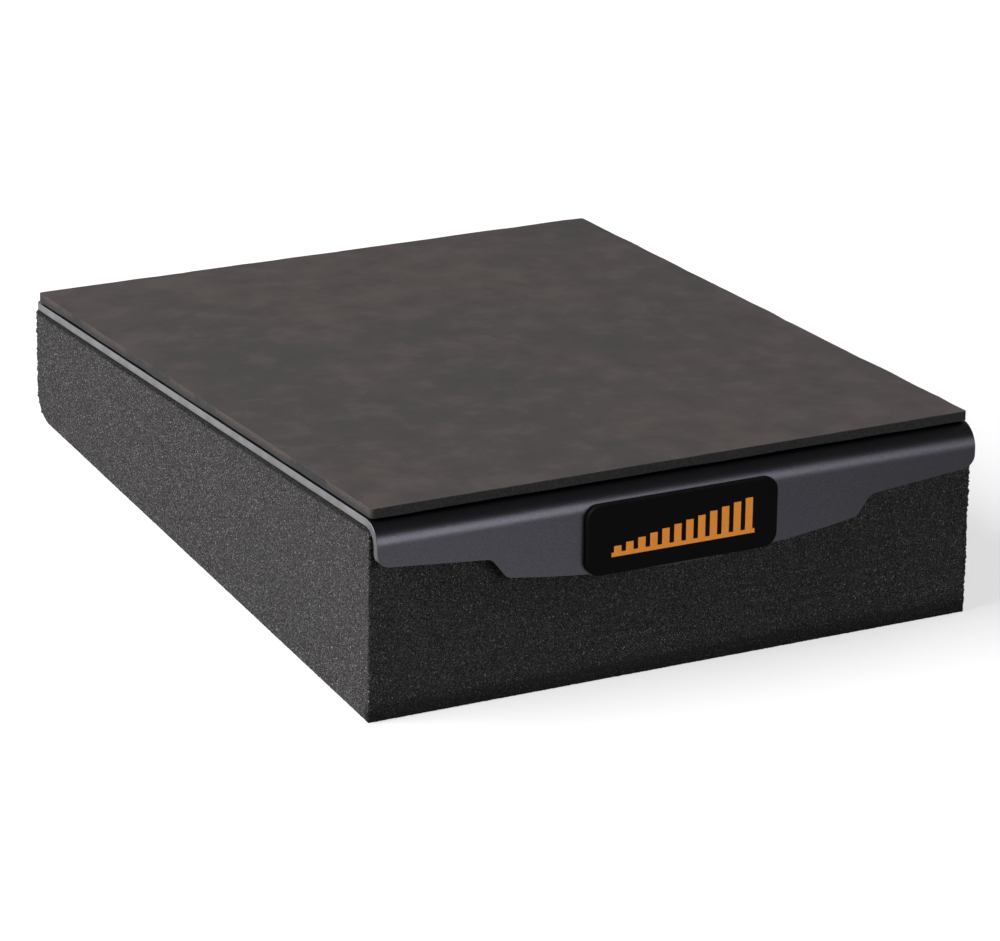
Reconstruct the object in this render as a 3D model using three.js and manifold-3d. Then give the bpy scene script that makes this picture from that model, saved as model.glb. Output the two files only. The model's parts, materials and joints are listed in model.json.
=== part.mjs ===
// Speaker isolation pad: a wedge of open-cell foam under a steel deck plate, with a rubber
// sheet on top for the speaker and a small badge on the plate's folded front lip.
// Units are millimetres, +Z is up, the front lip faces -Y and +X is to its right.
// The origin is the middle of the flat underside that rests on the desk.

import Module from 'manifold-3d';
import * as THREE from 'three';
import { mergeVertices } from 'three/addons/utils/BufferGeometryUtils.js';

const wasm = await Module();
wasm.setup();

// Steel deck plate, folded down along its front edge
const SHEET_THICKNESS = 2.4;
const PLATE_WIDTH = 200.8;
const PLATE_DEPTH = 242;
const PLATE_REAR_CORNER_RADIUS = 3;
const BEND_OUTER_RADIUS = 7.3;

// Front lip: its heights are measured down from the plate's top face.
// Two shallow wings slope to a shoulder, and a step leads down to a wide curved tongue.
const LIP_END_HEIGHT = 12.7;
const LIP_SHOULDER_HEIGHT = 16;
const LIP_TONGUE_HEIGHT = 27;
const LIP_CORNER_RADIUS = 4.2;
const LIP_STEP_RADIUS = 3.5;
const LIP_STEP_RUN = 5;
const TONGUE_WIDTH = 117.6;
const TONGUE_EDGE_RADIUS = 370;
const TONGUE_EDGE_STEPS = 24;

// Foam wedge under the plate
const FOAM_FRONT_HEIGHT = 58;
const FOAM_REAR_HEIGHT = 35.1;
const FOAM_REAR_EDGE_RADIUS = 9.5;
const FOAM_SIDE_OVERHANG = 0.75;
const FOAM_REAR_INSET = 2;
const FOAM_LIP_GAP = 2.15;

// Rubber sheet on top of the plate
const PAD_THICKNESS = 3;
const PAD_CORNER_RADIUS = 3;
const PAD_SIDE_REVEAL = 0.4;
const PAD_REAR_REVEAL = 2.45;
const PAD_FRONT_REVEAL = 4.75;

// Adhesive films: each lies in a seam, a little thinner than the seam and set back from its edge
const SEAM = 0.4;
const FILM_CLEARANCE = 0.05;
const FILM_SETBACK = 1.5;

// Badge on the lip, and the raised print on its face
const BADGE_WIDTH = 64;
const BADGE_HEIGHT = 21.8;
const BADGE_THICKNESS = 1.6;
const BADGE_CORNER_RADIUS = 4.5;
const BADGE_ARRIS = 0.4;
const BADGE_EDGE_MARGIN = 1;
const PRINT_THICKNESS = 0.12;
const PRINT_BAR_COUNT = 12;
const PRINT_BAR_PITCH = 4;
const PRINT_BAR_WIDTH = 2.4;
const PRINT_LINE_HEIGHT = 1.3;
const PRINT_LINE_OVERRUN = 0.8;
const PRINT_LOWEST_BAR = 3.2;
const PRINT_TALLEST_BAR = 11;

// The pieces were laid by hand, a little left of centre
const DECK_OFFSET = -0.44;
const BADGE_OFFSET = -1.8;

// How finely round stretches are divided
const ARC_SEGMENTS = 12;
const ARRIS_SEGMENTS = 3;
const CUTTER_MARGIN = 5;

// Worked-out places in the deck's frame: y = 0 is the lip's outer face, z = 0 the plate's underside
const bendInnerRadius = BEND_OUTER_RADIUS - SHEET_THICKNESS;
const bendAxisY = BEND_OUTER_RADIUS;
const bendAxisZ = -bendInnerRadius;
const filmThickness = SEAM - 2 * FILM_CLEARANCE;

const foamWidth = PLATE_WIDTH + 2 * FOAM_SIDE_OVERHANG;
const foamFrontY = SHEET_THICKNESS + FOAM_LIP_GAP;
const foamRearY = PLATE_DEPTH - FOAM_REAR_INSET;
const foamDepth = foamRearY - foamFrontY;
const foamTopZ = -SEAM;
const foamFrontBottomZ = foamTopZ - FOAM_FRONT_HEIGHT;
const foamRearBottomZ = foamTopZ - FOAM_REAR_HEIGHT;
const tilt = Math.atan2(foamRearBottomZ - foamFrontBottomZ, foamDepth);

const padWidth = PLATE_WIDTH - 2 * PAD_SIDE_REVEAL;
const padFrontY = PAD_FRONT_REVEAL;
const padRearY = PLATE_DEPTH - PAD_REAR_REVEAL;
const padBottomZ = SHEET_THICKNESS + SEAM;

const tongueBottomZ = SHEET_THICKNESS - LIP_TONGUE_HEIGHT;
const badgeBottomZ = tongueBottomZ + BADGE_EDGE_MARGIN;
const badgeCentreZ = badgeBottomZ + BADGE_HEIGHT / 2;
const badgeFaceY = -SEAM - BADGE_THICKNESS;

// Axis maps for extrusions: a section drawn in (y, z) runs along +X,
// and an outline drawn in (x, z) comes forward, along -Y.
const ALONG_X = new THREE.Matrix4().makeBasis(
  new THREE.Vector3(0, 1, 0),
  new THREE.Vector3(0, 0, 1),
  new THREE.Vector3(1, 0, 0),
);
const FORWARD = new THREE.Matrix4().makeBasis(
  new THREE.Vector3(1, 0, 0),
  new THREE.Vector3(0, 0, 1),
  new THREE.Vector3(0, -1, 0),
);

// Adds a corner to an outline, rounded by an arc that is tangent to both of its sides.
function addCorner(shape, before, corner, after, radius) {
  const point = new THREE.Vector2(...corner);
  const back = new THREE.Vector2(...before).sub(point).normalize();
  const ahead = new THREE.Vector2(...after).sub(point).normalize();
  const halfAngle = Math.acos(back.dot(ahead)) / 2;
  const middle = back.clone().add(ahead).normalize();
  const centre = middle.multiplyScalar(radius / Math.sin(halfAngle)).add(point);
  const tangent = radius / Math.tan(halfAngle);
  const start = back.multiplyScalar(tangent).add(point);
  const end = ahead.multiplyScalar(tangent).add(point);
  const from = start.clone().sub(centre);
  const to = end.clone().sub(centre);
  shape.lineTo(start.x, start.y);
  shape.absarc(centre.x, centre.y, radius, from.angle(), to.angle(), from.cross(to) < 0);
}

// Closed outline through corners given as [x, y] or, where a corner is round, [x, y, radius].
// The first corner is a sharp one.
function outline(corners) {
  const shape = new THREE.Shape();
  shape.moveTo(...corners[0]);
  for (let i = 1; i < corners.length; i += 1) {
    const [x, y, radius] = corners[i];
    if (radius) {
      const before = corners[i - 1].slice(0, 2);
      const after = corners[(i + 1) % corners.length].slice(0, 2);
      addCorner(shape, before, [x, y], after, radius);
    } else {
      shape.lineTo(x, y);
    }
  }
  shape.closePath();
  return shape;
}

function roundedRectangle(width, height, radius) {
  const right = width / 2;
  const top = height / 2;
  return outline([
    [0, -top],
    [right, -top, radius],
    [right, top, radius],
    [-right, top, radius],
    [-right, -top, radius],
  ]);
}

function prism(shape, depth) {
  return new THREE.ExtrudeGeometry(shape, {
    depth,
    bevelEnabled: false,
    curveSegments: ARC_SEGMENTS,
  });
}

function toSolid(geometry) {
  geometry.deleteAttribute('normal');
  geometry.deleteAttribute('uv');
  const merged = mergeVertices(geometry);
  return new wasm.Manifold(new wasm.Mesh({
    numProp: 3,
    vertProperties: merged.attributes.position.array,
    triVerts: merged.index.array,
  }));
}

function fromSolid(solid) {
  const { vertProperties, triVerts } = solid.getMesh();
  const geometry = new THREE.BufferGeometry();
  geometry.setAttribute('position', new THREE.BufferAttribute(vertProperties, 3));
  geometry.setIndex(new THREE.BufferAttribute(triVerts, 1));
  const faceted = geometry.toNonIndexed();
  faceted.computeVertexNormals();
  return faceted;
}

// Side section of the foam, in (y, z). The top follows the inside of the plate's bend at the
// front, the underside slopes, and the lower rear edge is rounded.
function foamSection() {
  const reliefRadius = bendInnerRadius - SEAM;
  const reliefEnd = Math.acos((foamFrontY - bendAxisY) / reliefRadius);
  const frontBottom = [foamFrontY, foamFrontBottomZ];
  const rearBottom = [foamRearY, foamRearBottomZ];
  const rearTop = [foamRearY, foamTopZ];
  const shape = new THREE.Shape();
  shape.moveTo(...rearTop);
  shape.lineTo(bendAxisY, foamTopZ);
  shape.absarc(bendAxisY, bendAxisZ, reliefRadius, Math.PI / 2, reliefEnd, false);
  shape.lineTo(...frontBottom);
  addCorner(shape, frontBottom, rearBottom, rearTop, FOAM_REAR_EDGE_RADIUS);
  shape.closePath();
  return shape;
}

function makeFoamBase() {
  return prism(foamSection(), foamWidth).applyMatrix4(ALONG_X).translate(-foamWidth / 2, 0, 0);
}

// Film on a flat seam of the deck, from the end of the bend to a little short of the rear edge.
function makeFlatFilm(coveredWidth, rearY, seamBottomZ) {
  const frontY = bendAxisY + FILM_SETBACK;
  const depth = rearY - FILM_SETBACK - frontY;
  const film = new THREE.BoxGeometry(coveredWidth - 2 * FILM_SETBACK, depth, filmThickness);
  return film.translate(0, frontY + depth / 2, seamBottomZ + SEAM / 2);
}

// Section of the folded sheet, in (y, z), long enough downwards for the deepest part of the lip.
function foldedSection() {
  const lowZ = tongueBottomZ - CUTTER_MARGIN;
  const rearY = PLATE_DEPTH + CUTTER_MARGIN;
  return outline([
    [0, lowZ],
    [SHEET_THICKNESS, lowZ],
    [SHEET_THICKNESS, 0, bendInnerRadius],
    [rearY, 0],
    [rearY, SHEET_THICKNESS],
    [0, SHEET_THICKNESS, BEND_OUTER_RADIUS],
  ]);
}

// Height of the tongue's curved lower edge at a distance x from its middle.
function tongueEdgeZ(x) {
  const sagitta = TONGUE_EDGE_RADIUS - Math.sqrt(TONGUE_EDGE_RADIUS ** 2 - x ** 2);
  return tongueBottomZ + sagitta;
}

// Front view of the plate, in (x, z): the lip's stepped lower edge from left to right.
function lipOutline() {
  const side = PLATE_WIDTH / 2;
  const shoulder = TONGUE_WIDTH / 2 + LIP_STEP_RUN;
  const endZ = SHEET_THICKNESS - LIP_END_HEIGHT;
  const shoulderZ = SHEET_THICKNESS - LIP_SHOULDER_HEIGHT;
  const aboveZ = SHEET_THICKNESS + CUTTER_MARGIN;
  const tongue = [];
  for (let i = 0; i <= TONGUE_EDGE_STEPS; i += 1) {
    const x = TONGUE_WIDTH * (i / TONGUE_EDGE_STEPS - 1 / 2);
    const isEnd = i === 0 || i === TONGUE_EDGE_STEPS;
    tongue.push(isEnd ? [x, tongueEdgeZ(x), LIP_STEP_RADIUS] : [x, tongueEdgeZ(x)]);
  }
  return outline([
    [-side, aboveZ],
    [-side, endZ, LIP_CORNER_RADIUS],
    [-shoulder, shoulderZ, LIP_STEP_RADIUS],
    ...tongue,
    [shoulder, shoulderZ, LIP_STEP_RADIUS],
    [side, endZ, LIP_CORNER_RADIUS],
    [side, aboveZ],
  ]);
}

// Plan view of the plate, in (x, y), with its rear corners rounded.
function planOutline() {
  const side = PLATE_WIDTH / 2;
  return outline([
    [-side, -CUTTER_MARGIN],
    [side, -CUTTER_MARGIN],
    [side, PLATE_DEPTH, PLATE_REAR_CORNER_RADIUS],
    [-side, PLATE_DEPTH, PLATE_REAR_CORNER_RADIUS],
  ]);
}

// The folded sheet is trimmed by its front outline and by its plan outline.
function makeSteelPlate() {
  const stripWidth = PLATE_WIDTH + 2 * CUTTER_MARGIN;
  const strip = prism(foldedSection(), stripWidth).applyMatrix4(ALONG_X);
  strip.translate(-stripWidth / 2, 0, 0);

  const reach = PLATE_DEPTH + 2 * CUTTER_MARGIN;
  const front = prism(lipOutline(), reach).applyMatrix4(FORWARD);
  front.translate(0, PLATE_DEPTH + CUTTER_MARGIN, 0);

  const plan = prism(planOutline(), LIP_TONGUE_HEIGHT + 2 * CUTTER_MARGIN);
  plan.translate(0, 0, tongueBottomZ - CUTTER_MARGIN);

  return fromSolid(toSolid(strip).intersect(toSolid(front)).intersect(toSolid(plan)));
}

function makeTopPad() {
  const depth = padRearY - padFrontY;
  const sheet = prism(roundedRectangle(padWidth, depth, PAD_CORNER_RADIUS), PAD_THICKNESS);
  return sheet.translate(0, padFrontY + depth / 2, padBottomZ);
}

// The tape holds the badge to the flat part of the lip, below the bend.
function makeBadgeTape() {
  const topZ = bendAxisZ - FILM_SETBACK;
  const bottomZ = badgeBottomZ + FILM_SETBACK;
  const width = BADGE_WIDTH - 2 * BADGE_CORNER_RADIUS;
  const tape = new THREE.BoxGeometry(width, filmThickness, topZ - bottomZ);
  return tape.translate(0, -SEAM / 2, (topZ + bottomZ) / 2);
}

function makeBadge() {
  const geometry = new THREE.ExtrudeGeometry(
    roundedRectangle(BADGE_WIDTH, BADGE_HEIGHT, BADGE_CORNER_RADIUS),
    {
      depth: BADGE_THICKNESS - 2 * BADGE_ARRIS,
      bevelThickness: BADGE_ARRIS,
      bevelSize: BADGE_ARRIS,
      bevelOffset: -BADGE_ARRIS,
      bevelSegments: ARRIS_SEGMENTS,
      curveSegments: ARC_SEGMENTS,
    },
  );
  return geometry.applyMatrix4(FORWARD).translate(0, -SEAM - BADGE_ARRIS, badgeCentreZ);
}

// The print is a row of bars that rise from left to right on one line, in (x, z).
function printOutline() {
  const barSpan = (PRINT_BAR_COUNT - 1) * PRINT_BAR_PITCH + PRINT_BAR_WIDTH;
  const lineEnd = barSpan / 2 + PRINT_LINE_OVERRUN;
  const rise = (PRINT_TALLEST_BAR - PRINT_LOWEST_BAR) / (PRINT_BAR_COUNT - 1);
  const corners = [[-lineEnd, 0], [lineEnd, 0], [lineEnd, PRINT_LINE_HEIGHT]];
  for (let i = PRINT_BAR_COUNT - 1; i >= 0; i -= 1) {
    const left = i * PRINT_BAR_PITCH - barSpan / 2;
    const right = left + PRINT_BAR_WIDTH;
    const top = PRINT_LOWEST_BAR + i * rise;
    corners.push([right, PRINT_LINE_HEIGHT], [right, top], [left, top], [left, PRINT_LINE_HEIGHT]);
  }
  corners.push([-lineEnd, PRINT_LINE_HEIGHT]);
  return outline(corners);
}

function makeBadgePrint() {
  const print = prism(printOutline(), PRINT_THICKNESS).applyMatrix4(FORWARD);
  return print.translate(0, badgeFaceY - FILM_CLEARANCE, badgeCentreZ - PRINT_TALLEST_BAR / 2);
}

function finish(color, roughness, metalness) {
  return new THREE.MeshStandardMaterial({ color, roughness, metalness });
}

const FOAM = finish(0x35302d, 1, 0);
const RUBBER = finish(0x453f3d, 0.85, 0);
const STEEL = finish(0x45434c, 0.42, 0.6);
const ADHESIVE = finish(0x101010, 0.7, 0);
const BLACK_PLASTIC = finish(0x0c0c0e, 0.3, 0);
const ORANGE_INK = finish(0xe17d28, 0.5, 0);

function addPiece(parent, name, geometry, material) {
  const mesh = new THREE.Mesh(geometry, material);
  mesh.name = name;
  parent.add(mesh);
}

// Middle of the flat underside, in the wedge's own frame, where the plate lies level.
function restingPoint() {
  const rearTangent = FOAM_REAR_EDGE_RADIUS / Math.tan(Math.PI / 4 + tilt / 2);
  const halfLength = (foamDepth / Math.cos(tilt) - rearTangent) / 2;
  const y = foamFrontY + halfLength * Math.cos(tilt);
  const z = foamFrontBottomZ + halfLength * Math.sin(tilt);
  return new THREE.Vector3(0, y, z);
}

// The whole pad stands on its sloping underside, so the deck leans back by the wedge's angle.
const wedge = new THREE.Group();
wedge.rotation.x = -tilt;
wedge.position.copy(restingPoint().applyEuler(wedge.rotation).negate());
addPiece(wedge, 'foam_base', makeFoamBase(), FOAM);

const deck = new THREE.Group();
deck.position.x = DECK_OFFSET;
addPiece(deck, 'foam_bond_film', makeFlatFilm(PLATE_WIDTH, foamRearY, foamTopZ), ADHESIVE);
addPiece(deck, 'steel_plate', makeSteelPlate(), STEEL);
addPiece(deck, 'pad_bond_film', makeFlatFilm(padWidth, padRearY, SHEET_THICKNESS), ADHESIVE);
addPiece(deck, 'top_pad', makeTopPad(), RUBBER);
wedge.add(deck);

const badge = new THREE.Group();
badge.position.x = BADGE_OFFSET;
addPiece(badge, 'badge_tape', makeBadgeTape(), ADHESIVE);
addPiece(badge, 'badge', makeBadge(), BLACK_PLASTIC);
addPiece(badge, 'badge_print', makeBadgePrint(), ORANGE_INK);
deck.add(badge);

const speakerPad = new THREE.Group();
speakerPad.add(wedge);

export default speakerPad;
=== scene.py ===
# %% [markdown]
# This file dresses a speaker isolation pad: a wedge of dark foam, a folded steel plate on top
# of it, a thin rubber sheet on the plate and a small badge on the plate's front lip. The
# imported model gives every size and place. Each piece below is modelled at its true size, in
# metres, and then gets a finish made of nodes.

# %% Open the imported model
import json
import math

import bmesh
import bpy
from mathutils import Matrix, Vector

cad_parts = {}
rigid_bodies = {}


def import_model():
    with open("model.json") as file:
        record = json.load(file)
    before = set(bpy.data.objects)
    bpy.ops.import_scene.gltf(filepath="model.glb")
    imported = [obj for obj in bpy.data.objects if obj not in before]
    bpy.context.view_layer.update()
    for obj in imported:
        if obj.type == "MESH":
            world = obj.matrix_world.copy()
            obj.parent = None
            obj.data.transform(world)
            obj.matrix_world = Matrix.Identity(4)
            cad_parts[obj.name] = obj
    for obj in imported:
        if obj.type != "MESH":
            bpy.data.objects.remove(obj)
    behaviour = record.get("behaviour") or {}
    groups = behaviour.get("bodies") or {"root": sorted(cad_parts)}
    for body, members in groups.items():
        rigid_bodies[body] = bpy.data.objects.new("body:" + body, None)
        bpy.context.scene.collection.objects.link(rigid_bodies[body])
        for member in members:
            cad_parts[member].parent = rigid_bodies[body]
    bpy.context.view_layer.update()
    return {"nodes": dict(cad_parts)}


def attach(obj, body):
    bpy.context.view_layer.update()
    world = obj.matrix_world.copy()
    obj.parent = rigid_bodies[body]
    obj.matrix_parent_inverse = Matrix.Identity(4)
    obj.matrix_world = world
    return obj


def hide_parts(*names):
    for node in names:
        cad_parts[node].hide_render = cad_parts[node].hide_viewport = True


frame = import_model()
print("nodes:", sorted(frame["nodes"]))

# %% [markdown]
# The plate and the rubber sheet slope down to the rear, and the foam's upper side with them.
# They are simplest to model lying level, so there is one level place for them all: x runs to
# the right, y to the rear, and height zero is the underside of the steel. Each finished piece
# is then laid down at the deck's slope in one move.

# %% The deck's slope and place
MM = 0.001
TILT = math.radians(5.5551)
DECK_PLACE = Vector((0.0, -112.845, 58.566)) * MM
DECK_SHIFT = -0.44 * MM
DECK_UP = Vector((0, math.sin(TILT), math.cos(TILT)))


def lay_on_slope(piece, shift):
    """Turns a level piece to the deck's slope, and keeps the turn in its mesh."""
    rest_selection(piece)
    piece.rotation_euler = (-TILT, 0, 0)
    piece.location = DECK_PLACE + Vector((shift, 0, 0))
    bpy.ops.object.transform_apply(location=True, rotation=True, scale=True)


def rest_selection(piece=None):
    """Deselects all, then makes one piece the only one that is selected."""
    bpy.ops.object.select_all(action="DESELECT")
    if piece:
        piece.select_set(True)
        bpy.context.view_layer.objects.active = piece


print("slope of the deck:", round(math.degrees(TILT), 3), "degrees")

# %% [markdown]
# Edit mode works on what is selected. Picking by hand is done with the mouse, and in a script
# it is done by a rule, such as all edges that lie at the front. The first helpers below enter
# and leave edit mode, and pick points, edges or faces by such a rule. The others start a plane,
# apply modifiers and print how large a piece has become.

# %% Helpers for modelling
SHARP_ANGLE = math.radians(50)
HAIR = 0.01 * MM
UPRIGHT = 0.9


def edit(piece):
    rest_selection(piece)
    bpy.ops.object.mode_set(mode="EDIT")


def leave_edit():
    bpy.ops.object.mode_set(mode="OBJECT")


def pick(piece, kind, rule):
    """Selects the points, edges or faces (VERT, EDGE, FACE) for which the rule holds."""
    bpy.ops.mesh.select_mode(type=kind)
    bpy.ops.mesh.select_all(action="DESELECT")
    cage = bmesh.from_edit_mesh(piece.data)
    parts = {"VERT": cage.verts, "EDGE": cage.edges, "FACE": cage.faces}[kind]
    found = [part for part in parts if rule(part)]
    for part in found:
        part.select_set(True)
    cage.select_flush_mode()
    bmesh.update_edit_mesh(piece.data)
    return len(found)


def middle(part):
    """Middle of an edge, or of a face."""
    points = [vert.co for vert in part.verts]
    return sum(points, Vector()) / len(points)


def apply_modifier(piece, kind, settings):
    rest_selection(piece)
    modifier = piece.modifiers.new(kind.title(), kind)
    for name, value in settings.items():
        setattr(modifier, name, value)
    bpy.ops.object.modifier_apply(modifier=modifier.name)


def ease_edges(piece, width):
    """Gives every sharp edge a fine bevel."""
    apply_modifier(
        piece,
        "BEVEL",
        {"width": width, "segments": 3, "limit_method": "ANGLE", "angle_limit": SHARP_ANGLE},
    )


def shade(piece):
    """Smooth shading, with weighted normals that keep the large faces flat."""
    rest_selection(piece)
    bpy.ops.object.shade_smooth()
    apply_modifier(piece, "WEIGHTED_NORMAL", {"keep_sharp": True, "weight": 80})


def report(piece):
    piece.data.calc_loop_triangles()
    size = [round(value / MM, 1) for value in piece.dimensions]
    print(piece.name, "is", size, "mm,", len(piece.data.loop_triangles), "triangles")


def start_plane(name, place, width, depth, turn=(0, 0, 0)):
    """A plane at its true size and place. The operator's own scale has no effect on a plane."""
    rest_selection()
    bpy.ops.mesh.primitive_plane_add(size=1, location=place, rotation=turn)
    piece = bpy.context.object
    piece.name = name
    piece.scale = (width, depth, 1)
    bpy.ops.object.transform_apply(location=True, rotation=True, scale=True)
    return piece


print("helpers are ready")

# %% [markdown]
# The foam is cut from a slab with a blade, so its walls are flat and its edges are sharp, but
# every surface is a layer of cut cells, and the edges are ragged on the scale of one cell. A
# box drawn out to a wedge gives the form. Its lower rear edge is rounded, and the upper front
# edge is eased where it lies in the plate's bend.

# %% Shape the foam wedge
FOAM_HALF_WIDTH = 101.15 * MM
FOAM_FRONT = 4.55 * MM
FOAM_REAR = 240 * MM
FOAM_TOP = -0.4 * MM
FOAM_LOW_FRONT = -58.4 * MM
FOAM_LOW_REAR = -35.5 * MM
FOAM_REAR_BEVEL = 8.62 * MM
FOAM_FRONT_BEVEL = 2 * MM

rest_selection()
bpy.ops.mesh.primitive_cube_add(
    size=1,
    location=(0, (FOAM_FRONT + FOAM_REAR) / 2, (FOAM_TOP + FOAM_LOW_FRONT) / 2),
    scale=(2 * FOAM_HALF_WIDTH, FOAM_REAR - FOAM_FRONT, FOAM_TOP - FOAM_LOW_FRONT),
)
foam = bpy.context.object
foam.name = "foam_wedge"
bpy.ops.object.transform_apply(location=True, rotation=True, scale=True)

edit(foam)


def at_low_rear(vert):
    return vert.co.y > FOAM_REAR - MM and vert.co.z < FOAM_TOP - MM


pick(foam, "VERT", at_low_rear)
bpy.ops.transform.translate(value=(0, 0, FOAM_LOW_REAR - FOAM_LOW_FRONT))
pick(foam, "EDGE", lambda edge: all(at_low_rear(vert) for vert in edge.verts))
bpy.ops.mesh.bevel(offset=FOAM_REAR_BEVEL, segments=14, profile=0.5, affect="EDGES")
pick(foam, "EDGE", lambda edge: middle(edge).y < FOAM_FRONT + MM / 2 and middle(edge).z > -MM)
bpy.ops.mesh.bevel(offset=FOAM_FRONT_BEVEL, segments=5, profile=0.5, affect="EDGES")
leave_edit()
report(foam)

# %% [markdown]
# Ragged edges need small faces. A sharp remesh rebuilds the wedge from faces of one size and
# keeps its corners crisp. The flat upper and lower sides are hidden or lie on the table, so
# their small faces are dissolved again, apart from a border. Along the crisp edges the faces
# are halved once more, down to the size of a single foam cell. The photograph shows a dark line
# under the plate, so the foam's upper rim is pressed down a little, away from the steel.

# %% Give the foam small faces
FLAT_BORDER = 2.5 * MM
RIM_PRESS = 0.4 * MM
RIM_HEIGHT = 0.2 * MM
RIM_WIDTH = 0.3 * MM

apply_modifier(foam, "REMESH", {
    "mode": "SHARP",
    "octree_depth": 8,
    "scale": 0.9,
    "use_remove_disconnected": False,
})


def is_inner_flat(face):
    """Faces of the upper or lower side that lie well inside its border."""
    place = middle(face)
    inside = (
        abs(place.x) < FOAM_HALF_WIDTH - FLAT_BORDER
        and FOAM_FRONT + 2 * FLAT_BORDER < place.y < FOAM_REAR - 5 * FLAT_BORDER
    )
    return inside and abs(face.normal.z) > UPRIGHT


edit(foam)
print("faces dissolved:", pick(foam, "FACE", is_inner_flat))
bpy.ops.mesh.dissolve_faces()
bpy.ops.mesh.select_mode(type="EDGE")
bpy.ops.mesh.select_all(action="DESELECT")
bpy.ops.mesh.edges_select_sharp(sharpness=SHARP_ANGLE)
bpy.ops.mesh.select_more()
bpy.ops.mesh.subdivide(number_cuts=1)
edge_cage = bmesh.from_edit_mesh(foam.data)
near_edge = {vert.index for vert in edge_cage.verts if vert.select}


def at_upper_rim(vert):
    """Points of the long left and right edges, under the steel."""
    return vert.co.z > FOAM_TOP - RIM_HEIGHT and abs(vert.co.x) > FOAM_HALF_WIDTH - RIM_WIDTH


pick(foam, "VERT", at_upper_rim)
bpy.ops.transform.translate(value=(0, 0, -RIM_PRESS))
leave_edit()
report(foam)

# %% [markdown]
# Displace modifiers now push the walls in and out: a little over long stretches, because a
# blade wanders, and more from cell to cell, most of all along the edges, where single struts
# stand proud. A vertex group holds how far each point may move. It keeps the two large flat
# sides still, so that the foam lies flat on the table and clear of the plate, and the edges
# on the table are calmer than the others, as on the real pad.

# %% Roughen the cut walls
FREE_EDGE = 1.0
OPEN_WALL = 0.25
CALM_EDGE = 0.2
CALM_BAND = 2 * MM
FLAT_ENOUGH = 0.97

walls = foam.vertex_groups.new(name="cut_walls")
flat_normal = Vector((0, 0, 1))
low_normal = Vector((0, math.sin(TILT), -math.cos(TILT)))
low_corner = Vector((0, FOAM_FRONT, FOAM_LOW_FRONT))
for vert in foam.data.vertices:
    flatness = max(vert.normal.dot(flat_normal), vert.normal.dot(low_normal))
    if flatness > FLAT_ENOUGH:
        weight = 0.0
    elif (vert.co - low_corner).dot(low_normal) > -CALM_BAND:
        weight = CALM_EDGE
    else:
        weight = FREE_EDGE if vert.index in near_edge else OPEN_WALL
    walls.add([vert.index], weight, "REPLACE")

for name, grain, push, rest in (
    ("blade_wander", 22 * MM, 0.3 * MM, 0.45),
    ("cut_cells", 0.62 * MM, 1.1 * MM, 0.42),
):
    pattern = bpy.data.textures.new(name, "CLOUDS")
    pattern.noise_scale = grain
    pattern.noise_depth = 1
    apply_modifier(
        foam,
        "DISPLACE",
        {"texture": pattern, "strength": push, "mid_level": rest, "vertex_group": "cut_walls"},
    )

lay_on_slope(foam, 0)
bpy.ops.object.shade_smooth()
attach(foam, "root")
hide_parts("foam_base")
report(foam)

# %% [markdown]
# The plate is one piece of sheet steel with its front edge folded down. In the workshop the
# outline is cut first and folded after, and it is modelled much the same way: a flat sheet, a
# fold spun round the bend's axis, and a lip drawn down from it. The lip's lower edge steps
# down to a wide tongue behind the badge, with soft corners.

# %% The outline of the lip's lower edge
PLATE_HALF_WIDTH = 100.4 * MM
PLATE_REAR = 242 * MM
SHEET = 2.4 * MM
BEND_RADIUS = 7.3 * MM
TONGUE_HALF_WIDTH = 58.8 * MM
TONGUE_ARC = 370 * MM
TONGUE_LOW = -24.6 * MM
LIP_END_HEIGHT = -10.3 * MM
LIP_END_RADIUS = 4.2 * MM
SHOULDER_PLACE = (-63.8 * MM, -13.6 * MM)
SHOULDER_RADIUS = 3.5 * MM
ARC_START_MM = -50
ARC_STEP_MM = 5


def tongue_height(x):
    """Height of the tongue's shallow arc at one place across."""
    return TONGUE_LOW + TONGUE_ARC - math.sqrt(TONGUE_ARC ** 2 - x ** 2)


def round_corner(before, corner, after, radius, steps):
    """Points of an arc that rounds the corner between two neighbours."""
    back = (before - corner).normalized()
    ahead = (after - corner).normalized()
    half = back.angle(ahead) / 2
    centre = corner + (back + ahead).normalized() * radius / math.sin(half)
    start = corner + back * radius / math.tan(half) - centre
    end = corner + ahead * radius / math.tan(half) - centre
    sweep = start.angle_signed(end)
    arc = []
    for step in range(steps + 1):
        turn = -sweep * step / steps
        arc.append(centre + Matrix.Rotation(turn, 2) @ start)
    return arc


def lip_lower_edge():
    """Points (x, z) of the lip's lower edge, from its left end to its right end."""
    above_end = Vector((-PLATE_HALF_WIDTH, 0))
    end = Vector((-PLATE_HALF_WIDTH, LIP_END_HEIGHT))
    shoulder = Vector(SHOULDER_PLACE)
    step = Vector((-TONGUE_HALF_WIDTH, tongue_height(TONGUE_HALF_WIDTH)))
    inner = Vector((ARC_START_MM * MM, tongue_height(ARC_START_MM * MM)))
    left = round_corner(above_end, end, shoulder, LIP_END_RADIUS, 8)
    left += round_corner(end, shoulder, step, SHOULDER_RADIUS, 5)
    left += round_corner(shoulder, step, inner, SHOULDER_RADIUS, 5)
    arc_places = [x * MM for x in range(ARC_START_MM, 0, ARC_STEP_MM)]
    left += [Vector((x, tongue_height(x))) for x in arc_places]
    right = [Vector((-point.x, point.y)) for point in reversed(left)]
    return left + [Vector((0, TONGUE_LOW))] + right


lower_edge = lip_lower_edge()
print(len(lower_edge), "points, lowest", round(min(point.y for point in lower_edge) / MM, 2), "mm")

# %% Lay out the sheet, fold it and draw the lip down
PLATE_CORNER = 3 * MM
BEND_STEPS = 28

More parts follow.
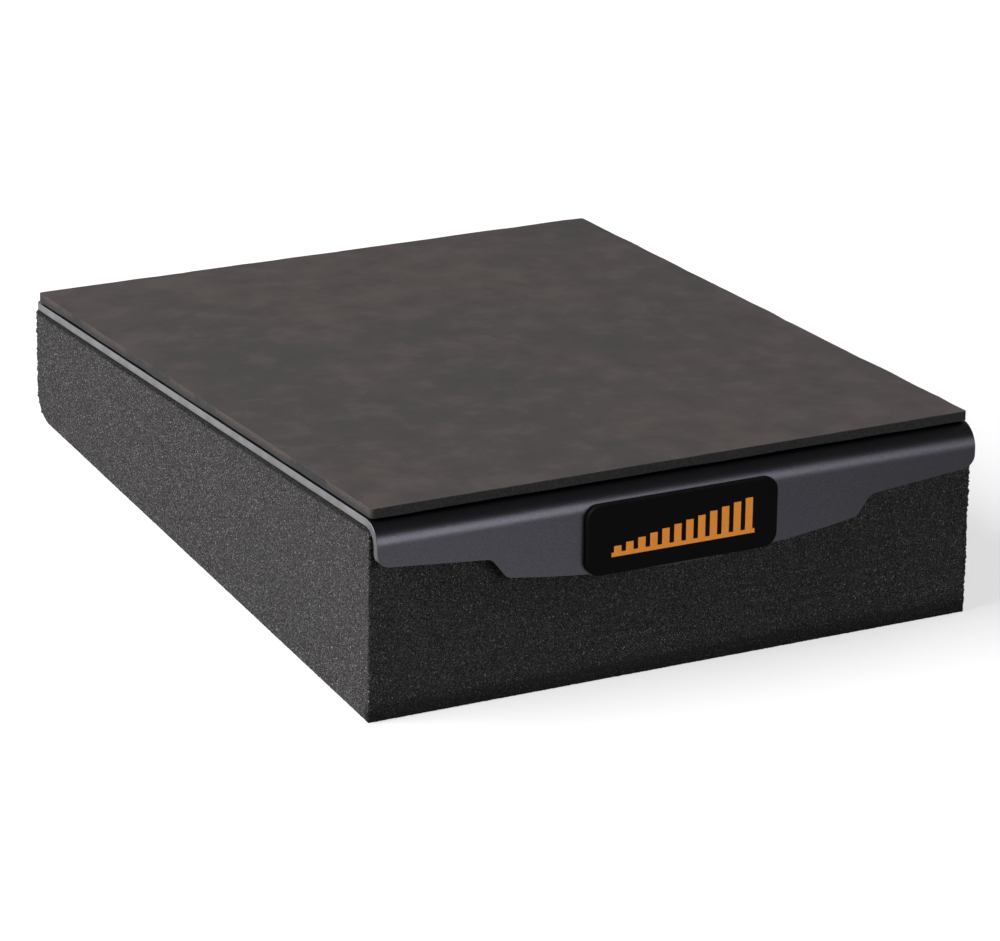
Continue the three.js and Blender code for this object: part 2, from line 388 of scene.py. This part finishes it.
plate = start_plane(
    "folded_plate",
    (0, (BEND_RADIUS + PLATE_REAR) / 2, SHEET),
    2 * PLATE_HALF_WIDTH,
    PLATE_REAR - BEND_RADIUS,
)

edit(plate)
pick(plate, "VERT", lambda vert: vert.co.y > PLATE_REAR - MM)
bpy.ops.mesh.bevel(offset=PLATE_CORNER, segments=8, profile=0.5, affect="VERTICES")
pick(plate, "EDGE", lambda edge: abs(middle(edge).y - BEND_RADIUS) < HAIR)
bpy.ops.mesh.spin(
    steps=BEND_STEPS,
    angle=-math.pi / 2,
    center=(0, BEND_RADIUS, SHEET - BEND_RADIUS),
    axis=(1, 0, 0),
)
drop = TONGUE_LOW - (SHEET - BEND_RADIUS)
bpy.ops.mesh.extrude_region_move(TRANSFORM_OT_translate={"value": (0, 0, drop)})
bpy.ops.mesh.select_all(action="SELECT")
bpy.ops.mesh.normals_make_consistent(inside=False)
leave_edit()
report(plate)

# %% [markdown]
# Upright cuts through the lip give it a point below each point of the outline, and every such
# point is then lifted to its height. This keeps the outline exact, with no leftovers.

# %% Trim the lip to its outline
SAME_CUT = 0.002 * MM

edit(plate)
for point in lower_edge:
    if abs(point.x) < PLATE_HALF_WIDTH - SAME_CUT:
        pick(plate, "FACE", lambda face: middle(face).y < BEND_RADIUS)
        bpy.ops.mesh.bisect(plane_co=(point.x, 0, 0), plane_no=(1, 0, 0))


def is_below(vert, point):
    """Points of the lip's straight lower edge that lie right below a point of the outline."""
    return abs(vert.co.x - point.x) < SAME_CUT and vert.co.z < TONGUE_LOW + HAIR


for point in lower_edge:
    if pick(plate, "VERT", lambda vert: is_below(vert, point)):
        bpy.ops.transform.translate(value=(0, 0, point.y - TONGUE_LOW))
leave_edit()
report(plate)

# %% [markdown]
# Solidify gives the sheet its 2.4 mm inwards, and with even offset the inside of the fold
# keeps its true radius. No sheet metal has knife edges after painting, so a fine bevel eases
# them, and weighted normals keep the large faces flat beside it.

# %% Give the sheet its thickness and ease its edges
PAINTED_ARRIS = 0.24 * MM

top_face = max(plate.data.polygons, key=lambda face: face.area)
if top_face.normal.z < 0:
    edit(plate)
    bpy.ops.mesh.select_all(action="SELECT")
    bpy.ops.mesh.flip_normals()
    leave_edit()
apply_modifier(plate, "SOLIDIFY", {"thickness": SHEET, "offset": -1.0, "use_even_offset": True})
ease_edges(plate, PAINTED_ARRIS)
shade(plate)
report(plate)

# %% [markdown]
# The rubber sheet is cut from a soft roll. It starts as a plane with rounded corners, gets
# short edges all round, and is drawn up to its 3 mm. A soft bevel and a slight waver of the
# rim, as a hand-held cutter leaves it, take the stiffness out of its outline.

# %% Cut the rubber sheet
PAD_HALF_WIDTH = 100 * MM
PAD_FRONT = 4.75 * MM
PAD_REAR = 239.55 * MM
PAD_LOW = 2.8 * MM
PAD_THICKNESS = 3 * MM
PAD_CORNER = 1 * MM
LONG_EDGE = 50 * MM
EDGE_CUTS = 63

rubber = start_plane(
    "rubber_sheet",
    (0, (PAD_FRONT + PAD_REAR) / 2, PAD_LOW),
    2 * PAD_HALF_WIDTH,
    PAD_REAR - PAD_FRONT,
)

edit(rubber)
pick(rubber, "VERT", lambda vert: True)
bpy.ops.mesh.bevel(offset=PAD_CORNER, segments=6, profile=0.5, affect="VERTICES")
pick(rubber, "EDGE", lambda edge: edge.calc_length() > LONG_EDGE)
bpy.ops.mesh.subdivide(number_cuts=EDGE_CUTS)
bpy.ops.mesh.select_all(action="SELECT")
bpy.ops.mesh.extrude_region_move(TRANSFORM_OT_translate={"value": (0, 0, PAD_THICKNESS)})
bpy.ops.mesh.select_all(action="SELECT")
bpy.ops.mesh.normals_make_consistent(inside=False)
leave_edit()
report(rubber)

# %% Soften the sheet's arrises and let its rim waver
WAVER_LENGTH = 14 * MM
WAVER_DEPTH = 0.5 * MM
PAD_ARRIS = 0.2 * MM

rim = rubber.vertex_groups.new(name="rim")
for vert in rubber.data.vertices:
    rim.add([vert.index], 1.0 if abs(vert.normal.z) < UPRIGHT else 0.0, "REPLACE")
waver = bpy.data.textures.new("cutter_waver", "CLOUDS")
waver.noise_scale = WAVER_LENGTH
apply_modifier(
    rubber,
    "DISPLACE",
    {"texture": waver, "strength": WAVER_DEPTH, "mid_level": 0.5, "vertex_group": "rim"},
)
ease_edges(rubber, PAD_ARRIS)
shade(rubber)
lay_on_slope(rubber, DECK_SHIFT)
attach(rubber, "root")
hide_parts("top_pad")
report(rubber)

# %% [markdown]
# The badge is a small moulded tile with round corners, and its front has a soft arris all
# round. It starts as an upright plane, which is its back, and is drawn out to the front.

# %% Mould the badge
BADGE_WIDTH = 64 * MM
BADGE_HEIGHT = 21.8 * MM
BADGE_BACK = -0.4 * MM
BADGE_THICKNESS = 1.6 * MM
BADGE_MIDDLE = -12.7 * MM
BADGE_SHIFT = DECK_SHIFT - 1.8 * MM
BADGE_CORNER = 4.5 * MM
BADGE_ARRIS = 0.55 * MM

badge = start_plane(
    "badge_tile",
    (0, BADGE_BACK, BADGE_MIDDLE),
    BADGE_WIDTH,
    BADGE_HEIGHT,
    turn=(math.pi / 2, 0, 0),
)

edit(badge)
pick(badge, "VERT", lambda vert: True)
bpy.ops.mesh.bevel(offset=BADGE_CORNER, segments=10, profile=0.5, affect="VERTICES")
bpy.ops.mesh.select_all(action="SELECT")
push_out = {"value": (0, -BADGE_THICKNESS, 0)}
bpy.ops.mesh.extrude_region_move(TRANSFORM_OT_translate=push_out)
bpy.ops.mesh.select_all(action="SELECT")
bpy.ops.mesh.normals_make_consistent(inside=False)
FACE_Y = BADGE_BACK - BADGE_THICKNESS
pick(badge, "EDGE", lambda edge: all(abs(vert.co.y - FACE_Y) < HAIR for vert in edge.verts))
bpy.ops.mesh.bevel(offset=BADGE_ARRIS, segments=5, profile=0.5, affect="EDGES")
leave_edit()
shade(badge)
lay_on_slope(badge, BADGE_SHIFT)
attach(badge, "root")
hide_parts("badge")
report(badge)

# %% [markdown]
# A finish is a tree of nodes, and most of it is arithmetic on what the nodes give. The class
# below holds one socket, and lets that arithmetic be written as ordinary sums. Every other
# node comes from its one method, which takes the node's type, settings and inputs.

# %% A socket that can be added and multiplied
class Signal:
    def __init__(self, tree, socket=None):
        self.tree = tree
        self.socket = socket

    def node(self, kind, settings=None, inputs=None, output=0):
        made = self.tree.nodes.new("ShaderNode" + kind)
        for name, value in (settings or {}).items():
            setattr(made, name, value)
        for name, value in (inputs or {}).items():
            if isinstance(value, Signal):
                self.tree.links.new(value.socket, made.inputs[name])
            else:
                made.inputs[name].default_value = value
        return Signal(self.tree, made.outputs[output] if made.outputs else None)

    def maths(self, operation, first, second):
        return self.node("Math", {"operation": operation}, {0: first, 1: second})

    def __add__(self, other):
        return self.maths("ADD", self, other)

    __radd__ = __add__

    def __mul__(self, other):
        return self.maths("MULTIPLY", self, other)

    def __sub__(self, other):
        return self.maths("SUBTRACT", self, other)

    def __rsub__(self, other):
        return self.maths("SUBTRACT", other, self)

    def between(self, low, high):
        """0 below low, 1 above high, and a smooth rise between them."""
        settings = {"interpolation_type": "SMOOTHSTEP"}
        return self.node("MapRange", settings, {"Value": self, "From Min": low, "From Max": high})

    def blend(self, first, second):
        """A colour that goes from the first to the second as this value goes from 0 to 1."""
        settings = {"data_type": "RGBA"}
        return self.node("Mix", settings, {0: self, 6: first, 7: second}, output=2)


def noise(place, scale, detail):
    """Soft noise that is about one half in the mean."""
    return place.node("TexNoise", {}, {"Vector": place, "Scale": scale, "Detail": detail}, "Fac")


def axis(place, letter):
    """One coordinate of a place."""
    return place.node("SeparateXYZ", {}, {"Vector": place}, letter)


def new_finish(name):
    """An empty material, and a signal on its tree to build from."""
    material = bpy.data.materials.new(name)
    material.use_nodes = True
    material.node_tree.nodes.clear()
    return material, Signal(material.node_tree)


def close_finish(desk, settings):
    """Ends a tree in one Principled shader with these inputs."""
    shader = desk.node("BsdfPrincipled", {}, settings)
    desk.node("OutputMaterial", {}, {"Surface": shader})


def grey(level, warmth=0.0):
    """A linear grey. Warmth above 0 leans to a reddish brown."""
    return (level * (1 + warmth), level, level, 1.0)


def dress(thing, *materials):
    thing.data.materials.clear()
    for material in materials:
        thing.data.materials.append(material)


print("the class for finishes is ready")

# %% [markdown]
# Cut open-cell foam is a web of struts round dark holes. A Voronoi texture has just this form:
# its cells are the holes, and the distance to their edges gives the struts. The holes are
# painted with shade, as deep hollows hold it. The struts are lighter, and a few get a painted
# glint, as if they caught the light. The same distance feeds the bump, so that light from the
# side breaks up on the surface as it does on real foam. In the photograph the front is darker
# along its foot, and so is the top millimetre under the plate. Both are painted shade in the
# colour: a shade along the foot of the front face, and the shade in the seam under the steel.
# A dot product with the deck's own upward direction gives the height on the deck, which says
# where that millimetre is.

# %% Foam finish
# Heights and strength of the painted shade along the foot of the foam's front face.
PAINTED_FOOT_SHADE = (1 * MM, 8 * MM)
FOOT_SHADE_SHARE = 0.75
FRONT_FACE = (-112.2 * MM, -111 * MM)
# Heights and strength of the painted shade in the seam under the steel.
PAINTED_RIM_SHADE = (-1.8 * MM, -0.9 * MM)
RIM_SHADE_SHARE = 0.7


def deck_level(desk, place):
    """Height above the underside of the steel."""
    along = desk.node("VectorMath", {"operation": "DOT_PRODUCT"}, {0: place, 1: DECK_UP}, "Value")
    return along - DECK_PLACE.dot(DECK_UP)


def foam_finish():
    material, desk = new_finish("charcoal_foam")
    place = desk.node("TexCoord", output="Object")
    cells = {"Vector": place, "Scale": 2900.0, "Randomness": 1.0}
    wall = desk.node("TexVoronoi", {"feature": "DISTANCE_TO_EDGE"}, cells, "Distance")
    hole = wall.between(0.03, 0.24)
    chance = desk.node("TexVoronoi", {"feature": "F1"}, cells, "Color")
    luck = desk.node("SeparateColor", {}, {"Color": chance}, "Red")
    tone = noise(place, 14.0, 3.0)
    dull = tone.blend(grey(0.010, 0.02), grey(0.014, 0.06))
    bright = tone.blend(grey(0.146, 0.03), grey(0.168, 0.08))
    web = luck.blend(dull, bright)
    # Painted shade: the holes are coloured near black, as the shade in a hollow.
    colour = hole.blend(web, luck.blend(grey(0.003), grey(0.009)))
    fuzz = noise(place, 3000.0, 1.0)
    # Painted glint: a few struts are coloured bright, as if they caught the light.
    painted_glint = fuzz.between(0.63, 0.70) * (1 - hole)
    colour = painted_glint.blend(colour, grey(0.60, 0.03))
    # Painted shade: the front face is darkened towards its foot.
    above = axis(place, "Z").between(*PAINTED_FOOT_SHADE)
    behind = axis(place, "Y").between(*FRONT_FACE)
    colour = ((1 - above) * (1 - behind) * FOOT_SHADE_SHARE).blend(colour, grey(0.004))
    # Painted shade: the foam's top millimetre, in the seam under the steel, is darkened.
    rim_shade = deck_level(desk, place).between(*PAINTED_RIM_SHADE)
    colour = (rim_shade * RIM_SHADE_SHARE).blend(colour, grey(0.005))
    height = (1 - hole) * (0.4 + luck) + fuzz * 0.6
    bump = {"Height": height, "Strength": 0.9, "Distance": 0.0005}
    close_finish(desk, {
        "Base Color": colour,
        "Roughness": 0.96,
        "Specular IOR Level": 0.15,
        "Normal": desk.node("Bump", {}, bump),
    })
    return material


dress(foam, foam_finish())
print("foam finish:", len(foam.data.materials[0].node_tree.nodes), "nodes")

# %% [markdown]
# The plate has a satin metallic coat, a dark grey with a trace of violet. It shows little
# colour of its own: it is dark where it faces the dark part of the room and light where it
# faces the pale one. The sheared edges take less paint and look lighter, but less so at the
# fold.

# %% Plate finishes
FOLD_REACH = (-112 * MM, -102 * MM)


def plate_finish():
    material, desk = new_finish("satin_gunmetal")
    place = desk.node("TexCoord", output="Object")
    peel = noise(place, 900.0, 2.0)
    cloud = noise(place, 35.0, 3.0)
    flake = desk.node("TexVoronoi", {}, {"Vector": place, "Scale": 3600.0}, "Color")
    spark = desk.node("SeparateColor", {}, {"Color": flake}, "Red")
    colour = spark.blend((0.050, 0.049, 0.058, 1), (0.066, 0.064, 0.077, 1))
    bump = {"Height": peel, "Strength": 0.12, "Distance": 0.0001}
    close_finish(desk, {
        "Base Color": colour,
        "Metallic": 1.0,
        "Roughness": 0.30 + cloud * 0.08,
        "Normal": desk.node("Bump", {}, bump),
    })
    return material


def sheared_finish():
    material, desk = new_finish("sheared_steel_edge")
    place = desk.node("TexCoord", output="Object")
    lines = desk.node("Mapping", {}, {"Vector": place, "Scale": (1.0, 0.25, 1.0)})
    drag = noise(lines, 1500.0, 3.0)
    worn = noise(place, 180.0, 4.0)
    flat = axis(place, "Y").between(*FOLD_REACH)
    thin = flat.blend((0.075, 0.073, 0.077, 1), (0.140, 0.136, 0.140, 1))
    thick = flat.blend((0.110, 0.107, 0.111, 1), (0.190, 0.186, 0.188, 1))
    colour = worn.between(0.3, 0.7).blend(thin, thick)
    bump = {"Height": drag, "Strength": 0.25, "Distance": 0.0001}
    close_finish(desk, {
        "Base Color": colour,
        "Metallic": 0.75,
        "Roughness": 0.42 + drag * 0.16,
        "Normal": desk.node("Bump", {}, bump),
    })
    return material


FACING = 0.8
REAR_ZONE = 200 * MM
LIP_ZONE = -9 * MM


def is_sheared(face):
    """Faces of the sheet's two sides, its rear edge and the lip's lower edge."""
    at_side = abs(face.normal.x) > FACING
    at_rear = face.normal.y > FACING and middle(face).y > REAR_ZONE
    below_lip = face.normal.z < -FACING and middle(face).z < LIP_ZONE
    return at_side or at_rear or below_lip


dress(plate, plate_finish(), sheared_finish())
edit(plate)
edge_faces = pick(plate, "FACE", is_sheared)
plate.active_material_index = 1
bpy.ops.object.material_slot_assign()
leave_edit()
lay_on_slope(plate, DECK_SHIFT)
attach(plate, "root")
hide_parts("steel_plate")
print("faces with the sheared finish:", edge_faces)

# %% [markdown]
# The rubber sheet has no gloss. What makes it rubber to the eye is the faint cloudiness of the
# roll: broad smudges, some browner and some greyer, a few long wipes, and specks of dust.

# %% Rubber finish
def rubber_finish():
    material, desk = new_finish("matte_rubber")
    place = desk.node("TexCoord", output="Object")
    broad = {"Vector": place, "Scale": 13.0, "Detail": 4.0, "Distortion": 0.6}
    smudge = desk.node("TexNoise", {}, broad, "Fac")
    mottle = {"Vector": place, "Scale": 85.0, "Detail": 4.0, "Roughness": 0.6}
    blotch = desk.node("TexNoise", {}, mottle, "Fac")
    slant = {"Vector": place, "Rotation": (0, 0, 0.5), "Scale": (1.0, 0.3, 1.0)}
    wipes = desk.node("Mapping", {}, slant)
    wipe = noise(wipes, 48.0, 3.0)
    grain = noise(place, 2400.0, 2.0)
    pores = desk.node("TexVoronoi", {}, {"Vector": place, "Scale": 1500.0}, "Distance")
    brown = smudge.between(0.35, 0.65)
    base = brown.blend((0.0210, 0.0172, 0.0176, 1), (0.0302, 0.0216, 0.0206, 1))
    colour = (wipe.between(0.45, 0.75) * 0.5).blend(base, (0.0365, 0.0280, 0.0272, 1))
    colour = (blotch.between(0.48, 0.64) * 0.60).blend(colour, (0.0430, 0.0328, 0.0316, 1))
    colour = ((1 - blotch).between(0.52, 0.66) * 0.55).blend(colour, (0.0150, 0.0127, 0.0133, 1))
    speck = ((grain - 0.5) * 0.9 + 0.35).blend((0.0, 0.0, 0.0, 1), (0.0380, 0.0318, 0.0312, 1))
    colour = desk.node("Mix", {"data_type": "RGBA"}, {0: 0.22, 6: colour, 7: speck}, output=2)
    dust = desk.node("TexVoronoi", {}, {"Vector": place, "Scale": 70.0}, "Distance")
    colour = (1 - dust.between(0.010, 0.022)).blend(colour, (0.09, 0.08, 0.078, 1))
    height = grain * 0.6 + pores * 0.8
    bump = {"Height": height, "Strength": 0.35, "Distance": 0.0002}
    close_finish(desk, {
        "Base Color": colour,
        "Roughness": 0.68 + wipe * 0.2,
        "Specular IOR Level": 0.3,
        "Normal": desk.node("Bump", {}, bump),
    })
    return material


# %% [markdown]
# A blade leaves the sheet's four sides rougher, darker and more neutral than its top, and on
# the left side brownish dust gathers under the upper arris. The height on the deck and the
# place from left to right say where that is.

# %% Finish of the rubber's cut sides
DUST_LINE = (3.2 * MM, 5.4 * MM)
DUSTY_SIDE = (-99.6 * MM, -98.6 * MM)
STEEP = 0.6


def cut_rubber_finish():
    material, desk = new_finish("cut_rubber")
    place = desk.node("TexCoord", output="Object")
    level = deck_level(desk, place)
    grain = noise(place, 1900.0, 2.0)
    patch = noise(place, 45.0, 3.0)
    calm = patch.blend((0.0130, 0.0130, 0.0134, 1), (0.0250, 0.0246, 0.0252, 1))
    colour = grain.between(0.42, 0.68).blend(calm, (0.0340, 0.0330, 0.0330, 1))
    dusty = level.between(*DUST_LINE) * patch.between(0.40, 0.56) * grain.between(0.30, 0.55)
    away = axis(place, "X").between(*DUSTY_SIDE)
    colour = (dusty * (1 - away)).blend(colour, (0.060, 0.048, 0.044, 1))
    bump = {"Height": grain + patch, "Strength": 0.5, "Distance": 0.0003}
    close_finish(desk, {
        "Base Color": colour,
        "Roughness": 0.9,
        "Specular IOR Level": 0.2,
        "Normal": desk.node("Bump", {}, bump),
    })
    return material


dress(rubber, rubber_finish(), cut_rubber_finish())
edit(rubber)
cut_faces = pick(rubber, "FACE", lambda face: abs(face.normal.z) < STEEP)
rubber.active_material_index = 1
bpy.ops.object.material_slot_assign()
leave_edit()
print("faces of the cut sides:", cut_faces)
print("rubber finish:", len(rubber.data.materials[0].node_tree.nodes), "nodes")

# %% [markdown]
# The badge is deep black plastic with a fine eggshell texture. Its print is a flat orange ink,
# a little uneven where it was pressed on. The glue films and the tape only show as dark lines.

# %% Badge, print and glue finishes
def badge_finish():
    material, desk = new_finish("black_badge_plastic")
    place = desk.node("TexCoord", output="Object")
    shell = noise(place, 1800.0, 2.0)
    tone = noise(place, 60.0, 2.0)
    bump = {"Height": shell, "Strength": 0.15, "Distance": 0.0001}
    close_finish(desk, {
        "Base Color": tone.blend((0.003, 0.003, 0.0033, 1), (0.005, 0.005, 0.0055, 1)),
        "Roughness": 0.34 + tone * 0.1,
        "Specular IOR Level": 0.02,
        "Normal": desk.node("Bump", {}, bump),
    })
    return material


def ink_finish():
    material, desk = new_finish("orange_ink")
    place = desk.node("TexCoord", output="Object")
    press = noise(place, 700.0, 3.0)
    bump = {"Height": press, "Strength": 0.2, "Distance": 0.00005}
    close_finish(desk, {
        "Base Color": press.blend((0.92, 0.29, 0.03, 1), (1.0, 0.36, 0.05, 1)),
        "Roughness": 0.5,
        "Specular IOR Level": 0.3,
        "Normal": desk.node("Bump", {}, bump),
    })
    return material


def glue_finish():
    material, desk = new_finish("black_glue")
    place = desk.node("TexCoord", output="Object")
    ripple = noise(place, 500.0, 2.0)
    bump = {"Height": ripple, "Strength": 0.3, "Distance": 0.0001}
    close_finish(desk, {
        "Base Color": ripple.blend((0.006, 0.006, 0.006, 1), (0.012, 0.011, 0.011, 1)),
        "Roughness": 0.55 + ripple * 0.2,
        "Normal": desk.node("Bump", {}, bump),
    })
    return material


dress(badge, badge_finish())
dress(frame["nodes"]["badge_print"], ink_finish())
glue = glue_finish()
for node in ("foam_bond_film", "pad_bond_film", "badge_tape"):
    dress(frame["nodes"][node], glue)
print("badge, print and glue are finished")

# %% [markdown]
# A pale floor carries the pad and its shadow. Seen by the camera it shines a little on its
# own, so that it reads as plain white paper. It shines in reflections too, but much less on
# the right, because the plate's lip is darker there in the photograph. The floor lies a hair
# below the foam's underside.

# %% Floor
FLOOR_LEVEL = -0.3 * MM
PAPER_GLOW = 0.62
DIM_SIDE = (-0.04, 0.19)
DIM_LOSS = 0.52

rest_selection()
bpy.ops.mesh.primitive_plane_add(size=14.0, location=(0, 0, FLOOR_LEVEL))
floor = bpy.context.object
floor.name = "studio_floor"


def ray_is(desk, kind):
    """1 for the rays of this kind, and 0 for the others."""
    return desk.node("LightPath", output=f"Is {kind} Ray")


def floor_finish():
    material, desk = new_finish("studio_paper")
    mirrored = ray_is(desk, "Glossy")
    shown = ray_is(desk, "Camera") + ray_is(desk, "Transmission") + mirrored
    paper = desk.node("BsdfDiffuse", {}, {"Color": shown.blend(grey(0.05), grey(0.30))})
    place = desk.node("TexCoord", output="Object")
    right = axis(place, "X").between(*DIM_SIDE)
    strength = shown * PAPER_GLOW - mirrored * right * DIM_LOSS
    glow = desk.node("Emission", {}, {"Strength": strength})
    desk.node("OutputMaterial", {}, {"Surface": desk.node("AddShader", {}, {0: paper, 1: glow})})
    return material


dress(floor, floor_finish())
print("floor is", [round(value, 1) for value in floor.dimensions], "m")

# %% [markdown]
# The photograph looks lit by one broad light from the upper left and a weaker one low at the
# front, with little light from above. The satin fold of the plate suggests this: its top is
# nearly black, a band half way down is light, and below the band it mirrors the floor. Two weak
# cards light the rear and the right, for the other views. The lamps are large, so every shadow
# is soft. The room has grey walls and a darker ceiling. To the camera all of it looks white,
# and in reflections the walls do.

# %% Lamps
def softbox(name, place, aim, width, height, power):
    """A rectangular lamp, sized in metres and powered in watts, that faces its aim."""
    lamp = bpy.data.lights.new(name, "AREA")
    lamp.shape = "RECTANGLE"
    lamp.size = width
    lamp.size_y = height
    lamp.energy = power
    holder = bpy.data.objects.new(name, lamp)
    bpy.context.scene.collection.objects.link(holder)
    holder.location = place
    holder.rotation_euler = (Vector(aim) - Vector(place)).to_track_quat("-Z", "Y").to_euler()


softbox("left_softbox", (-1.45, 0.25, 1.25), (0, 0, 0.03), 1.3, 1.3, 87.0)
softbox("front_card", (0.33, -1.42, 0.58), (0, -0.1, 0.03), 1.0, 0.72, 8.6)
softbox("rear_card", (-0.75, 1.45, 0.60), (0, 0.1, 0.03), 0.8, 0.5, 7.0)
softbox("right_card", (1.55, 0.35, 0.60), (0, 0, 0.03), 0.8, 0.5, 7.0)

# %% The room around
WALL_GREY = 0.30
CEILING_GREY = 0.065


def room():
    world = bpy.data.worlds.new("studio_room")
    bpy.context.scene.world = world
    world.use_nodes = True
    world.node_tree.nodes.clear()
    desk = Signal(world.node_tree)
    way = desk.node("TexCoord", output="Generated")
    up = axis(way, "Z")
    ceiling = up.between(0.12, 0.62)
    walls_and_ceiling = ceiling.blend(grey(WALL_GREY), grey(CEILING_GREY))
    shown = ray_is(desk, "Camera") + ray_is(desk, "Transmission")
    whiteness = shown + ray_is(desk, "Glossy") * (1 - ceiling)
    white = whiteness.blend(walls_and_ceiling, grey(1.0))
    back = desk.node("Background", {}, {"Color": white, "Strength": 1.0})
    desk.node("OutputWorld", {}, {"Surface": back})
    return world


print("world:", room().name)

# %% [markdown]
# The camera was found from the photograph: a long lens a metre and a half away, to the left
# of the pad and above it, with a slight roll. It has no shift and no blur.

# %% Camera
CAMERA_AIM = Vector((4.5614, 5.0, 12.4702)) * MM
CAMERA_DISTANCE = 1.5039
CAMERA_TURN = math.radians(-29.7312)
CAMERA_HEIGHT = math.radians(23.72)
CAMERA_ROLL = math.radians(3.6512)
LENS_LENGTH = 172.946
SENSOR_WIDTH = 36.0

back = Vector((
    math.sin(CAMERA_TURN) * math.cos(CAMERA_HEIGHT),
    -math.cos(CAMERA_TURN) * math.cos(CAMERA_HEIGHT),
    math.sin(CAMERA_HEIGHT),
))
side = Vector((0, 0, 1)).cross(back).normalized()
up = back.cross(side)
rolled_side = side * math.cos(CAMERA_ROLL) + up * math.sin(CAMERA_ROLL)
rolled_up = up * math.cos(CAMERA_ROLL) - side * math.sin(CAMERA_ROLL)
lens = bpy.data.cameras.new("long_lens")
lens.lens = LENS_LENGTH
lens.sensor_fit = "HORIZONTAL"
lens.sensor_width = SENSOR_WIDTH
lens.clip_start = 0.1
lens.clip_end = 60.0
camera = bpy.data.objects.new("camera", lens)
bpy.context.scene.collection.objects.link(camera)
turn = Matrix((rolled_side, rolled_up, back)).transposed()
camera.matrix_world = Matrix.Translation(CAMERA_AIM + back * CAMERA_DISTANCE) @ turn.to_4x4()
bpy.context.scene.camera = camera
bpy.context.scene.view_settings.view_transform = "Standard"
print("camera stands at", [round(value, 3) for value in camera.location])
